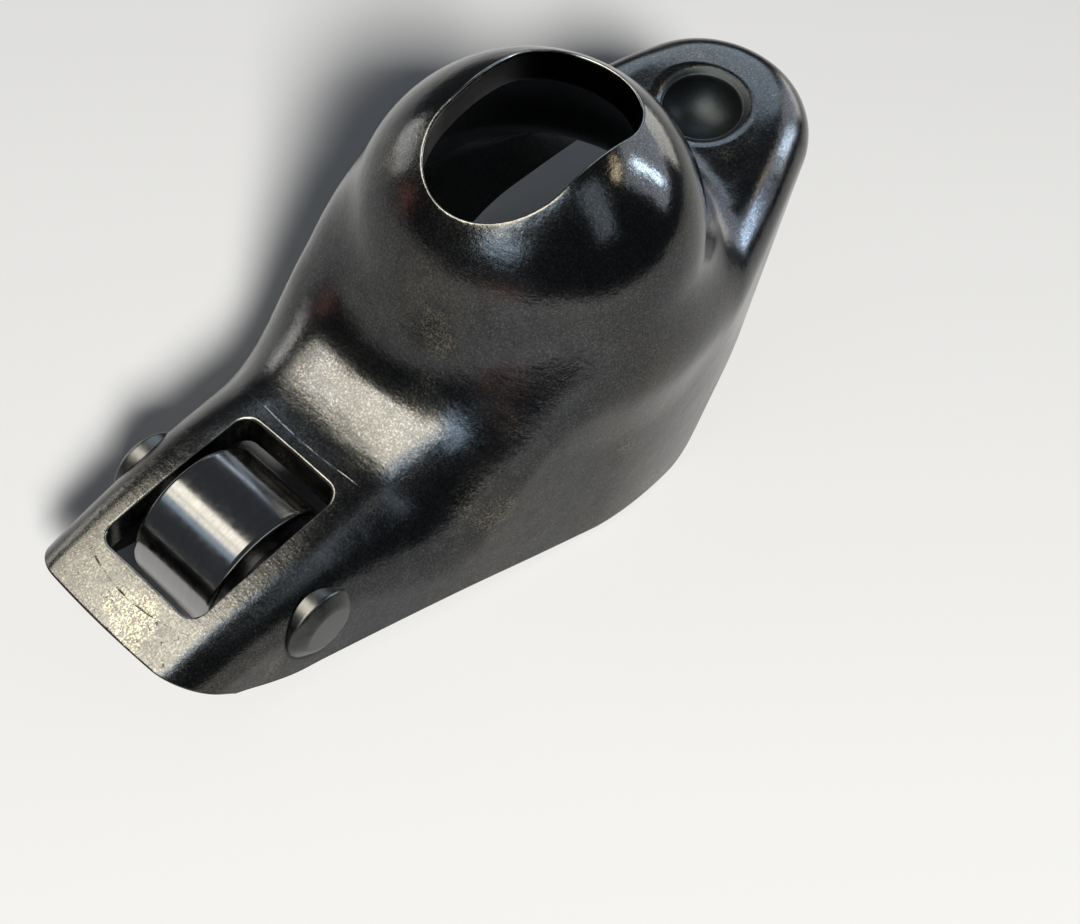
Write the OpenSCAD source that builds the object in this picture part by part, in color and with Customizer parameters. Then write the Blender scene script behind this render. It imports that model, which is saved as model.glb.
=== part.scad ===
// Stamped steel rocker arm with a roller tip, lying upside down as photographed.
// Millimetres, +Z up, +X from the roller nose towards the pushrod end, Y = 0 is
// the mirror plane. The two rims and the roller stand on Z = 0. Inside this file
// X = 0 is the dome's centre. laid() then moves all of it by lay_x, which puts the
// middle of the part's box at the origin.

/* [Sheet] */
// thickness of the pressed sheet
sheet_t = 3.0; // [2.6:0.1:3.4]
// rounding where the web bends down at the nose
bend_nose = 3.3; // [3.1:0.1:4.5]
// rounding where the web bends down beside the roller
bend_roller = 4.7; // [3.5:0.1:5.5]
// rounding of the bend at the neck
bend_neck = 8.8; // [5:0.2:9.4]
// rounding of the bend beside the seat dome
bend_dome = 4.2; // [3.4:0.1:6]
// rounding of the bend round the pushrod end
bend_end = 4.3; // [3.4:0.1:6]

/* [Seat dome] */
// outside radius of the dome that holds the pivot ball
dome_r = 15.5; // [14:0.1:17]
// height of the dome's centre
dome_z = 21.6; // [20:0.1:24]
// radius of the ground ball seat inside the dome
seat_r = 12.8; // [12.6:0.1:13.2]
// hollow rounding at the foot of the dome
dome_foot_r = 4.6; // [4:0.2:8]

/* [Stud slot] */
// width of the slot for the stud
slot_w = 12.4; // [10:0.2:14]
// length of the slot for the stud
slot_len = 19.6; // [16:0.2:22]
// middle of the slot, measured from the dome's centre
slot_shift = -2.2; // [-3:0.1:1]

/* [Outline from above] */
// front end of the nose, top edge
nose_x = -47.0; // [-50:0.1:-44]
// half width over the rims at the nose
nose_half_w = 9.8; // [8:0.1:11.5]
// half width over the rims at the roller
roller_half_w = 11.3; // [10.6:0.1:12.4]
// half width over the rims at the neck
neck_half_w = 14.2; // [13:0.1:15.5]
// half width over the rims at the dome's centre
dome_half_w = 18.4; // [17:0.1:20]
// widening of the walls behind the dome per millimetre of length
front_taper = 0.19; // [0.12:0.01:0.24]
// lean of the side walls per millimetre of height
wall_lean = 0.074; // [0.02:0.002:0.1]
// centre of the rounded pushrod end
end_x = 25.7; // [23:0.1:28]
// radius of the rounded pushrod end
end_r = 11.7; // [10:0.1:13]
// narrowing of the walls towards the pushrod end, sine of the angle
rear_taper = 0.34; // [0.28:0.01:0.4]
// lean of the nose's cut edge, run per millimetre of drop
nose_cut = 1.2; // [0:0.05:1.4]

/* [Height of the web] */
// web height at the nose
web_nose_z = 9.4; // [8:0.1:11]
// web height in front of the roller window
web_front_z = 10.0; // [9:0.1:11.5]
// web height behind the roller window
web_rear_z = 13.4; // [12:0.1:14.5]
// web height at the neck
neck_z = 15.3; // [13:0.1:16.5]
// web height at the foot of the dome
foot_z = 19.6; // [17:0.1:20.5]
// web height beside the dome
side_z = 21.1; // [19:0.1:22]
// web height in the valley behind the dome
valley_z = 21.2; // [20:0.1:22.5]
// height of the pad round the pushrod cup
pad_z = 24.0; // [22.5:0.1:25]
// height of the web at the rounded end
tip_z = 25.2; // [23.5:0.1:26]
// fall of the web from its middle to its sides
web_crown = 0.8; // [0:0.1:1.5]

/* [Rims] */
// height of the rims under the roller pin
rim_nose_z = 1.5; // [1:0.1:2.6]
// place along the arm where the rims leave the table
rim_corner_x = 4.0; // [2:0.2:7]
// height of the rims beside the valley
rim_valley_z = 10.5; // [8:0.1:11]
// height of the rim round the pushrod end
rim_tip_z = 20.0; // [18.5:0.1:20.5]

/* [Roller] */
// radius of the roller's tread
roller_r = 6.6; // [6:0.05:7]
// width of the roller's tread
roller_w = 9.0; // [8:0.1:10]
// place of the roller's axis along the arm
roller_x = -33.35; // [-35:0.05:-32]
// edge break of the roller
roller_edge = 0.45; // [0.2:0.05:0.8]

/* [Pin] */
// radius of the roller pin
pin_r = 3.5; // [3:0.05:3.8]
// how far the pin stands out of the side walls
pin_proud = 0.65; // [0.3:0.05:1.5]
// depth of the chamfer on the pin's ends
pin_cham = 0.8; // [0.3:0.05:1]
// radius of the flat left on the pin's ends
pin_flat_r = 2.3; // [1.5:0.05:2.8]
// running clearance between pin and roller
pin_run = 0.04; // [0.02:0.01:0.08]
// grip of the side walls on the pin
pin_grip = 0.01; // [0.005:0.005:0.02]

/* [Roller window] */
// from the roller's axis to the front edge of the window
window_front = 8.85; // [8:0.05:10]
// from the roller's axis to the rear edge of the window
window_rear = 6.35; // [6.2:0.05:7.5]
// width of the roller window
window_w = 11.0; // [10.2:0.1:12]
// corner radius of the roller window
window_corner = 1.4; // [0.8:0.1:2]

/* [Pushrod cup] */
// place of the cup along the arm
cup_x = 24.1; // [22.5:0.1:26]
// lean of the cup towards the dome, degrees
cup_lean = 16; // [0:1:22]
// radius of the ball-shaped cup
cup_r = 4.0; // [3.8:0.05:4.3]
// depth of the cup below the pad
cup_deep = 3.4; // [2.8:0.1:4]
// radius of the cup's flared lip
cup_lip_r = 4.4; // [4.1:0.05:5]
// wall left under the cup
cup_wall = 2.6; // [2.2:0.1:3]

/* [Hidden] */
$fn = 96;

// sections of the shell along the arm, and points across half a section
N = 45;
V = 20;
ray_steps = 20;
reach_max = 60;

// where the straight sections end and the fan round the pushrod end starts
fan_x = end_x - 7.6;
fan_end_x = end_x - 0.6;
straight_n = 32;
neck_x = roller_x + window_rear + 7;
foot_x = neck_x + 7;
nose_slant_len = 9;

// height of the web and of the rims, bend radii, all along the arm
web_line = with_slopes([
  [nose_x + 1, web_nose_z],
  [roller_x - window_front - 1, web_front_z],
  [roller_x + window_rear, web_rear_z],
  [neck_x, neck_z],
  [foot_x, foot_z],
  [-6, side_z + 0.7],
  [2, side_z],
  [cup_x / 2, (side_z + valley_z) / 2],
  [cup_x - 5.3, valley_z + 0.8],
  [cup_x + 1.7, pad_z],
  [end_x + end_r + 1, tip_z]
]);
rim_line = with_slopes([
  [nose_x + 5.5, rim_nose_z + 2.8],
  [nose_x + 8.8, rim_nose_z + 1.1],
  [nose_x + 11, rim_nose_z + 0.3],
  [roller_x, rim_nose_z],
  [neck_x, rim_nose_z * 0.8],
  [-10, rim_nose_z * 0.36],
  [rim_corner_x - 2.5, 0],
  [rim_corner_x, 0.05],
  [rim_corner_x + 4, 1.35],
  [rim_corner_x + 7, rim_valley_z * 0.53],
  [cup_x - 7.3, rim_valley_z],
  [cup_x - 4.1, rim_valley_z + 2.5],
  [cup_x - 1.1, rim_tip_z - 4.8],
  [cup_x + 2.4, rim_tip_z - 2.1],
  [end_x + 5.3, rim_tip_z + 0.1],
  [end_x + end_r + 1, rim_tip_z]
]);
width_line = with_slopes([
  [nose_x + 1, nose_half_w],
  [roller_x, roller_half_w],
  [neck_x, neck_half_w],
  [0, dome_half_w],
  [cup_x / 2, dome_half_w + front_taper * cup_x / 2]
]);
bend_line = with_slopes([
  [nose_x + 1, bend_nose],
  [roller_x + 1.35, bend_roller],
  [neck_x - 1, bend_neck],
  [-10, bend_dome - 0.6],
  [4, bend_dome],
  [cup_x - 4.1, bend_end],
  [end_x + end_r + 1, bend_end]
]);

// a smooth line through given stations: each entry becomes [x, value, slope]
function step_slope(t, i) = (t[i + 1][1] - t[i][1]) / (t[i + 1][0] - t[i][0]);
function inner_slope(t, i) =
  let (a = step_slope(t, i - 1), b = step_slope(t, i))
  let (u = t[i][0] - t[i - 1][0], v = t[i + 1][0] - t[i][0])
  a * b <= 0 ? 0 : (a * v + b * u) / (u + v);
function slope_at(t, i) =
  i == 0 ? step_slope(t, 0) :
  i == len(t) - 1 ? step_slope(t, i - 1) :
  inner_slope(t, i);
function with_slopes(t) = [for (i = [0:len(t) - 1]) [t[i][0], t[i][1], slope_at(t, i)]];
function seg_of(t, x, i) = (i >= len(t) - 2 || x < t[i + 1][0]) ? i : seg_of(t, x, i + 1);
function line_at(t, x) =
  let (i = seg_of(t, x, 0), a = t[i], b = t[i + 1])
  let (h = b[0] - a[0], s = max(-0.5, min(1.5, (x - a[0]) / h)), r = 1 - s)
  (1 + 2 * s) * r * r * a[1] + s * r * r * h * a[2]
  + s * s * (3 - 2 * s) * b[1] - s * s * r * h * b[2];

// rounded corner and hollow between two surfaces given as distances
function hyp(a, b) = sqrt(a * a + b * b);
function rounded(a, b, r) = min(-r, max(a, b)) + hyp(max(a + r, 0), max(b + r, 0));
function hollowed(a, b, r) = -rounded(-a, -b, r);

// distance of a point from the outline seen from above
rear_cos = sqrt(1 - rear_taper * rear_taper);
front_norm = sqrt(1 + front_taper * front_taper);
function front_side(x, y) = (y - line_at(width_line, x)) / front_norm;
function rear_side(x, y) =
  (x - end_x) * rear_cos - y * rear_taper > 0
  ? hyp(x - end_x, y) - end_r
  : rear_taper * (x - end_x) + rear_cos * y - end_r;
function outline(x, y) = rounded(front_side(x, y), rear_side(x, y), 6);

// distance of a point from the outside of the pressed sheet
function web_half_w(x) = max(5, line_at(width_line, min(x, 0)));
function web_z(x, y) = line_at(web_line, x) - web_crown * pow(y / web_half_w(x), 2);
function web_slope(x) = line_at(web_line, x + 0.5) - line_at(web_line, x - 0.5);
function web_side(x, y, z) = (z - web_z(x, y)) / hyp(1, web_slope(x));
function wall_side(x, y, z) = outline(x, y) + wall_lean * z;
function trough(x, y, z) = rounded(web_side(x, y, z), wall_side(x, y, z), line_at(bend_line, x));
function dome(x, y, z) = sqrt(x * x + y * y + pow(z - dome_z, 2)) - dome_r;
function skin(x, y, z) = hollowed(trough(x, abs(y), z), dome(x, y, z), dome_foot_r);
function skin_p(p) = skin(p[0], p[1], p[2]);
e = 0.05;
function skin_dir(p) = [
  skin(p[0] + e, p[1], p[2]) - skin(p[0] - e, p[1], p[2]),
  skin(p[0], p[1] + e, p[2]) - skin(p[0], p[1] - e, p[2]),
  skin(p[0], p[1], p[2] + e) - skin(p[0], p[1], p[2] - e)
];
function unit(v) = v / norm(v);
function flat_in(v, w) = unit(v - (v * w) * w);

// where a ray from inside meets the skin
function reach(q, d, a, b, n) =
  n == 0 ? (a + b) / 2 :
  skin_p(q + d * (a + b) / 2) < 0
  ? reach(q, d, (a + b) / 2, b, n - 1)
  : reach(q, d, a, (a + b) / 2, n - 1);

// section planes: foot on the mirror plane, direction seen from above, lean at the nose
function sec_x(i) =
  i < straight_n
  ? nose_x + (fan_x - nose_x) * i / (straight_n - 1)
  : fan_x + (fan_end_x - fan_x) * fan_q(i);
function fan_q(i) = (i - straight_n + 1) / (N - straight_n);
function sec_a(i) = i < straight_n ? 0 : 90 * pow(fan_q(i), 0.9);
function sec_dir(i) = i == N - 1 ? [1, 0, 0] : [sin(sec_a(i)), -cos(sec_a(i)), 0];
function sec_lean(i) = nose_cut * pow(max(0, 1 - (sec_x(i) - nose_x) / nose_slant_len), 2);
function sec_up(i) = [-sec_lean(i), 0, 1];
function sec_foot(i, z) = [sec_x(i) + sec_lean(i) * (line_at(web_line, sec_x(i)) - z), 0, z];

// height of the rim on a section plane; the leaning walls stand on their inner edge
rim_floor = sheet_t * wall_lean / hyp(1, wall_lean);
function rim_px(i, z) = sec_foot(i, z)[0]
  + sec_dir(i)[0] * reach(sec_foot(i, z), sec_dir(i), 0, reach_max, 12);
function rim_z(i, z, n) = n == 0 ? z : rim_z(i, max(rim_floor, line_at(rim_line, rim_px(i, z))), n - 1);

// outside points of one section, from the mirror plane (j = 0) to the near rim
function ray(i, j) =
  let (a = 90 * (1 - j / (V - 1)))
  cos(a) * sec_dir(i) + sin(a) * sec_up(i);
function out_point(i, j, q) = q + reach(q, ray(i, j), 0, reach_max, ray_steps) * ray(i, j);
function out_row(i) =
  let (z = rim_z(i, 8, 5), q = sec_foot(i, z))
  [for (j = [0:V - 1]) let (p = out_point(i, j, q)) j == 0 || i == N - 1 ? [p[0], 0, p[2]] : p];
function in_dir(i, j, p) =
  let (g = unit(skin_dir(p)))
  let (m = j == 0 || i == N - 1 ? unit([g[0], 0, g[2]]) : g)
  i == 0 ? flat_in(m, unit([1, 0, sec_lean(0)])) : m;
// the sheet is pushed through on the inside under the pushrod cup
boss_h = cup_deep + cup_wall - sheet_t;
boss_r = cup_r + cup_wall + 1;
function ease(s) = s <= 0 ? 0 : s * s * (3 - 2 * s);
function boss(p) = [0, 0, boss_h * ease(1 - hyp(p[0] - cup_x, p[1]) / boss_r)];
function in_point(i, j, p) = p - sheet_t * in_dir(i, j, p);
function bossed(p) = p - boss(p);
function in_row(i, r) = [for (j = [0:V - 1]) bossed(in_point(i, j, r[j]))];

out_rows = [for (i = [0:N - 1]) out_row(i)];
in_rows = [for (i = [0:N - 1]) in_row(i, out_rows[i])];

// whole rows: near rim, over the ridge, to the far rim
W = 2 * V - 1;
function mirrored(p) = [p[0], -p[1], p[2]];
function full_row(r) = [for (j = [0:W - 1]) j < V ? r[V - 1 - j] : mirrored(r[j - V + 1])];
shell_points = concat(
  [for (r = out_rows) each full_row(r)],
  [for (r = in_rows) each full_row(r)]
);
function fold_j(i, j) = i == N - 1 && j > V - 1 ? W - 1 - j : j;
function id(k, i, j) = k * N * W + i * W + fold_j(i, j);
shell_faces = concat(
  [for (i = [0:N - 2], j = [0:W - 2]) each [
    [id(0, i, j), id(0, i + 1, j + 1), id(0, i + 1, j)],
    [id(0, i, j), id(0, i, j + 1), id(0, i + 1, j + 1)],
    [id(1, i, j), id(1, i + 1, j), id(1, i + 1, j + 1)],
    [id(1, i, j), id(1, i + 1, j + 1), id(1, i, j + 1)]
  ]],
  [for (i = [0:N - 2]) each [
    [id(0, i, 0), id(0, i + 1, 0), id(1, i + 1, 0)],
    [id(0, i, 0), id(1, i + 1, 0), id(1, i, 0)],
    [id(0, i, W - 1), id(1, i + 1, W - 1), id(0, i + 1, W - 1)],
    [id(0, i, W - 1), id(1, i, W - 1), id(1, i + 1, W - 1)]
  ]],
  [for (j = [0:W - 2]) each [
    [id(0, 0, j), id(1, 0, j + 1), id(0, 0, j + 1)],
    [id(0, 0, j), id(1, 0, j), id(1, 0, j + 1)]
  ]]
);

// the roller's axis stands one roller radius above the table
roller_z = roller_r;
axis_point = [roller_x, 0, roller_z];
wall_half = reach(axis_point, [0, -1, 0], 0, reach_max, ray_steps);
pin_half = wall_half + pin_proud;
cup_z = line_at(web_line, cup_x) + 0.1;
slot_end = (slot_len - slot_w) / 2;

// the middle of the part's box goes to X = 0
lay_x = -(min([for (p = shell_points) p[0]]) + max([for (p = shell_points) p[0]])) / 2;

module laid() {
  translate([lay_x, 0, 0])
    children();
}

module shell() {
  polyhedron(points = shell_points, faces = shell_faces, convexity = 10);
}

module along_y(x, z) {
  translate([x, 0, z])
    rotate([90, 0, 0])
      children();
}

// the slot is an upright prism with round ends, open at the top
module slot_cut() {
  translate([slot_shift - slot_end, 0, dome_z + seat_r / 2])
    cylinder(h = dome_r, r = slot_w / 2);
  translate([slot_shift + slot_end, 0, dome_z + seat_r / 2])
    cylinder(h = dome_r, r = slot_w / 2);
  translate([slot_shift - slot_end, -slot_w / 2, dome_z + seat_r / 2])
    cube([2 * slot_end, slot_w, dome_r]);
}

module window_cut() {
  x0 = roller_x - window_front;
  x1 = roller_x + window_rear;
  k = window_corner;
  for (x = [x0 + k, x1 - k], y = [-1, 1])
    translate([x, y * (window_w / 2 - k), roller_z])
      cylinder(h = 2 * roller_r, r = k);
  translate([x0 + k, -window_w / 2, roller_z])
    cube([x1 - x0 - 2 * k, window_w, 2 * roller_r]);
  translate([x0, -window_w / 2 + k, roller_z])
    cube([x1 - x0, window_w - 2 * k, 2 * roller_r]);
}

// ball-shaped cup with a flared lip, square to the sloping pad
module cup_cut() {
  flare = cup_lip_r - cup_r;
  translate([cup_x, 0, cup_z])
    rotate([0, -cup_lean, 0])
      rotate_extrude()
        difference() {
          union() {
            translate([0, cup_r - cup_deep])
              circle(r = cup_r);
            polygon([[0, -0.7], [cup_r - 0.1, -0.7], [cup_lip_r, 0], [cup_lip_r + flare, 0.8], [0, 0.8]]);
          }
          translate([-2 * cup_r, -cup_r])
            square([2 * cup_r, 4 * cup_r]);
        }
}

module arm_body() {
  color([0.36, 0.37, 0.36])
    laid()
      difference() {
        shell();
        translate([0, 0, dome_z])
          sphere(r = seat_r);
        slot_cut();
        window_cut();
        cup_cut();
        along_y(roller_x, roller_z)
          cylinder(h = 2 * pin_half + 4, r = pin_r - pin_grip, center = true);
      }
}

// a plain ground roller: the long sides of the window keep it in the middle
module tip_roller() {
  color([0.62, 0.6, 0.57])
    laid()
      along_y(roller_x, roller_z)
        rotate_extrude()
          polygon([
            [pin_r + pin_run, -roller_w / 2 + roller_edge],
            [pin_r + pin_run + roller_edge, -roller_w / 2],
            [roller_r - roller_edge, -roller_w / 2],
            [roller_r, -roller_w / 2 + roller_edge],
            [roller_r, roller_w / 2 - roller_edge],
            [roller_r - roller_edge, roller_w / 2],
            [pin_r + pin_run + roller_edge, roller_w / 2],
            [pin_r + pin_run, roller_w / 2 - roller_edge]
          ]);
}

module roller_pin() {
  color([0.45, 0.45, 0.44])
    laid()
      along_y(roller_x, roller_z)
        rotate_extrude()
          polygon([
            [0, -pin_half],
            [pin_flat_r, -pin_half],
            [pin_r, -pin_half + pin_cham],
            [pin_r, pin_half - pin_cham],
            [pin_flat_r, pin_half],
            [0, pin_half]
          ]);
}

arm_body();
tip_roller();
roller_pin();
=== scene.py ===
import math

import bmesh
import bpy
import numpy as np
from mathutils import Matrix, Vector


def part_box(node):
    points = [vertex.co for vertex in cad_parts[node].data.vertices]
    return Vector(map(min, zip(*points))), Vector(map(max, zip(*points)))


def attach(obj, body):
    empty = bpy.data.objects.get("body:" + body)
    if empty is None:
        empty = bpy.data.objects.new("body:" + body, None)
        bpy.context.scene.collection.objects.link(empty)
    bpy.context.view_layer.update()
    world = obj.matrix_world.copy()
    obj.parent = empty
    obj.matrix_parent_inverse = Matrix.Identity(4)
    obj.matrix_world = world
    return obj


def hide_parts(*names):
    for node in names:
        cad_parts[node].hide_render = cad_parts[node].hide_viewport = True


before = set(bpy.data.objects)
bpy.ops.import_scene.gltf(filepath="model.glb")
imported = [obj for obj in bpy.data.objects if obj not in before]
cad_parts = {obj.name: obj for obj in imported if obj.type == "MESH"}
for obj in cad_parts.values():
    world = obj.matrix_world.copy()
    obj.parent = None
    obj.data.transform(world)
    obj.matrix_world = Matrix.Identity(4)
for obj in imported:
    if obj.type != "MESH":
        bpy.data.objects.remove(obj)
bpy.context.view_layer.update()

# The pieces are worked out in millimetres with X = 0 at the dome's centre, and laid in the row's
# frame in metres by to_object. The sizes are the CAD's, but for the top line, which lies up to
# 0.25 mm lower at the nose and before the neck.
SHEET = 3.0
DOME_R, DOME_Z = 15.5, 21.6
SEAT_R = 12.8
FOOT_R = 4.6
NOSE_X = -47.0
NOSE_CUT, NOSE_CUT_LEN = 1.2, 9.0
DOME_W, WAIST_R = 18.4, 6.0
FRONT_K, REAR_K = 0.19, 0.34
END_X, END_R = 25.7, 11.7
LEAN = 0.074
CROWN, CROWN_LEAST_W = 0.8, 5.0
SLOT_W, SLOT_LEN, SLOT_SHIFT = 12.4, 19.6, -2.2
ROLLER_X, ROLLER_R, ROLLER_W = -33.35, 6.6, 9.0
PIN_R, PIN_HALF, PIN_CHAM, PIN_FLAT = 3.5, 11.4529, 0.8, 2.3
PIN_PLAY = 0.04
WIN_FRONT, WIN_REAR, WIN_W, WIN_K = 8.85, 6.35, 11.0, 1.4
CUP_X, CUP_R, CUP_DEEP, CUP_WALL = 24.1, 4.0, 3.4, 2.6
CUP_LIP, CUP_FLARE, CUP_INSET, CUP_ROUND = 4.4, 0.7, 0.1, 0.8
CUP_LEAN = math.radians(16.0)

# places along the arm, and the lines that its form follows as (x, value)
NECK_X = ROLLER_X + WIN_REAR + 7
FOOT_X = NECK_X + 7
RIM_X = 4.0
TAIL_X = END_X + END_R + 1
WEB = [(NOSE_X + 1, 9.15), (ROLLER_X - WIN_FRONT - 1.4, 9.92), (ROLLER_X + WIN_REAR, 13.4),
       (NECK_X - 3.5, 13.95), (NECK_X, 15.3), (FOOT_X, 19.6), (-6, 21.8), (2, 21.1),
       (CUP_X / 2, 21.15), (CUP_X - 5.3, 22.0), (CUP_X + 1.7, 24.0), (TAIL_X, 25.2)]
RIM = [(NOSE_X + 5.5, 4.3), (NOSE_X + 8.8, 2.6), (NOSE_X + 11, 1.8), (ROLLER_X, 1.5), (NECK_X, 1.2),
       (-10, 0.54), (RIM_X - 2.5, 0), (RIM_X, 0.05), (RIM_X + 4, 1.35), (RIM_X + 7, 5.565),
       (CUP_X - 7.3, 10.5), (CUP_X - 4.1, 13.0), (CUP_X - 1.1, 15.2), (CUP_X + 2.4, 17.9),
       (END_X + 5.3, 20.1), (TAIL_X, 20.0)]
BEND = [(NOSE_X + 1, 3.3), (ROLLER_X + 1.35, 4.7), (NECK_X - 1, 8.8), (-10, 3.6), (4, 4.2),
        (CUP_X - 4.1, 4.3), (TAIL_X, 4.3)]
WIDTH = [(NOSE_X + 1, 9.8), (ROLLER_X, 11.3), (NECK_X, 14.2), (0, DOME_W),
         (CUP_X / 2, DOME_W + FRONT_K * CUP_X / 2)]

# the arm's mesh: cross-sections along it, more that fan round its end, and points from ridge to rim
SECTIONS, FAN_SECTIONS, POINTS = 112, 40, 62
FAN_FROM, FAN_TO = END_X - 7.6, END_X - 0.6
# roundings in millimetres: the sheet's edge, the slot's and the window's, each outside and inside
EDGE_ROUND = (0.35, 0.25)
SLOT_ROUND = (0.3, 0.25)
WIN_ROUND = (0.25, 0.2)
# a point closer to a cut than this share of its edge is moved onto the cut
SNAP = 0.3
# the tool marks across the nose: x, bow, half width and reach to each side
TOOL_MARKS = [(-44.15, 0.033, 0.08, 5.9), (-25.85, 0.013, 0.07, 7.2)]


# the form of the pressed sheet
def smooth_line(table):
    """a smooth curve y(x) through a table of points, level wherever the table turns"""
    xs, ys = np.array(table, float).T
    run = np.diff(xs)
    rise = np.diff(ys) / run
    slope = np.zeros(len(xs))
    shared = (rise[:-1] * run[1:] + rise[1:] * run[:-1]) / (run[1:] + run[:-1])
    slope[1:-1] = np.where(rise[:-1] * rise[1:] > 0, shared, 0)
    slope[0], slope[-1] = rise[0], rise[-1]

    def at(x):
        x = np.asarray(x, float)
        i = np.clip(np.searchsorted(xs, x, side="right") - 1, 0, len(xs) - 2)
        s = np.clip((x - xs[i]) / run[i], -0.5, 1.5)
        r = 1 - s
        return ((1 + 2 * s) * r * r * ys[i] + s * r * r * run[i] * slope[i]
                + s * s * (3 - 2 * s) * ys[i + 1] - s * s * r * run[i] * slope[i + 1])
    return at


web_line, rim_line, bend_line = smooth_line(WEB), smooth_line(RIM), smooth_line(BEND)
width_line = smooth_line(WIDTH)
CUP_Z = float(web_line(CUP_X)) + 0.1


def bisect(inside, lo, hi, steps=44):
    """the values between lo and hi at which inside stops being true"""
    for _ in range(steps):
        middle = (lo + hi) / 2
        hit = inside(middle)
        lo, hi = np.where(hit, middle, lo), np.where(hit, hi, middle)
    return (lo + hi) / 2


def rounded(a, b, r):
    """what lies inside both a and b, which are negative inside, with the edge rounded to radius r"""
    return np.minimum(-r, np.maximum(a, b)) + np.hypot(np.maximum(a + r, 0), np.maximum(b + r, 0))


def outline(x, y):
    """distance outside the trough's outline, seen from above"""
    front = (y - width_line(x)) / math.sqrt(1 + FRONT_K ** 2)
    c = math.sqrt(1 - REAR_K ** 2)
    rear = np.where((x - END_X) * c - y * REAR_K > 0, np.hypot(x - END_X, y) - END_R,
                    REAR_K * (x - END_X) + c * y - END_R)
    return rounded(front, rear, WAIST_R)


def web_z(x, y):
    """height of the trough's slightly crowned top"""
    half = np.maximum(CROWN_LEAST_W, width_line(np.minimum(x, 0)))
    return web_line(x) - CROWN * (y / half) ** 2


def skin(p):
    """distance of points p outside the sheet's outer surface, negative inside"""
    x, y, z = p[..., 0], np.abs(p[..., 1]), p[..., 2]
    slope = web_line(x + 0.5) - web_line(x - 0.5)
    web = (z - web_z(x, y)) / np.hypot(1, slope)
    trough = rounded(web, outline(x, y) + LEAN * z, bend_line(x))
    dome = np.sqrt(x * x + y * y + (z - DOME_Z) ** 2) - DOME_R
    return -rounded(-trough, -dome, FOOT_R)


def normal(p, step=0.05):
    """outward unit normals of the outer surface at p"""
    axes = np.eye(3) * step
    g = np.stack([skin(p + axis) - skin(p - axis) for axis in axes], -1)
    return g / np.linalg.norm(g, axis=-1, keepdims=True)


def reach(start, ray, longest=60.0):
    """where rays from inside the sheet's form meet its outer surface"""
    size = start.shape[:-1]
    far = bisect(lambda s: skin(start + ray * s[..., None]) < 0, np.zeros(size), np.full(size, longest))
    return start + ray * far[..., None]


def boss(p):
    """how much lower the inside lies under the pushrod cup, to keep a wall there"""
    s = 1 - np.hypot(p[..., 0] - CUP_X, p[..., 1]) / (CUP_R + CUP_WALL + 1)
    s = np.clip(s, 0, 1)
    out = np.zeros(p.shape)
    out[..., 2] = (CUP_DEEP + CUP_WALL - SHEET) * s * s * (3 - 2 * s)
    return out


def inner_of(p, n):
    """the inside of the sheet under outer points p with normals n"""
    q = p - SHEET * n
    centre = np.array([0, 0, DOME_Z])
    v = q - centre
    r = np.linalg.norm(v, axis=-1, keepdims=True)
    q = np.where(r < SEAT_R, centre + v / np.maximum(r, 1e-9) * SEAT_R, q)
    return q - boss(p)


def top_z(x, y):
    """height of the outer surface over (x, y)"""
    return bisect(lambda z: skin(np.stack([x, y, z], -1)) < 0, np.full(x.shape, 5.0), np.full(x.shape, 45.0))


def under_z(x, y):
    """height of the inner surface over (x, y)"""
    px, py = x.copy(), y.copy()
    for _ in range(12):
        p = np.stack([px, py, top_z(px, py)], -1)
        q = inner_of(p, normal(p))
        px, py = px + (x - q[..., 0]), py + (y - q[..., 1])
    return q[..., 2]


def cup_uvh(p):
    """coordinates in the cup's leaning frame: along, across and up its axis"""
    x, z = p[..., 0] - CUP_X, p[..., 2] - CUP_Z
    c, s = math.cos(CUP_LEAN), math.sin(CUP_LEAN)
    return np.stack([x * c + z * s, p[..., 1], -x * s + z * c], -1)


def cup_xyz(u, v, h):
    """the point at (u, v, h) in the cup's leaning frame"""
    c, s = math.cos(CUP_LEAN), math.sin(CUP_LEAN)
    return np.stack([CUP_X + u * c - h * s, v, CUP_Z + u * s + h * c], -1)


def cup_floor(uv):
    """the sheet's surface with the cup in it, along the cup's axis"""
    u, v = uv[:, 0], uv[:, 1]
    rho = np.hypot(u, v)
    slope = (CUP_LIP - CUP_R + CUP_INSET) / CUP_FLARE

    def inside(h):
        ball = np.hypot(rho, h - (CUP_R - CUP_DEEP)) - CUP_R
        lip = (rho - (CUP_R - CUP_INSET) - (h + CUP_FLARE) * slope) / math.hypot(1, slope)
        lip = np.maximum(lip, -(h + CUP_FLARE))
        return rounded(skin(cup_xyz(u, v, h)), -np.minimum(ball, lip), CUP_ROUND) < 0
    return cup_xyz(u, v, bisect(inside, np.full(u.shape, -4.5), np.full(u.shape, 4.0)))


# the arm's mesh
def sections():
    """where each cross-section stands on the mirror plane, and its turn about Z"""
    x = list(NOSE_X + (FAN_FROM - NOSE_X) * np.linspace(0, 1, SECTIONS))
    turn = [0.0] * SECTIONS
    for k in range(1, FAN_SECTIONS + 1):
        q = k / FAN_SECTIONS
        x.append(FAN_FROM + (FAN_TO - FAN_FROM) * q)
        turn.append(math.radians(90 * q ** 0.9))
    return np.array(x), np.array(turn)


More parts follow.
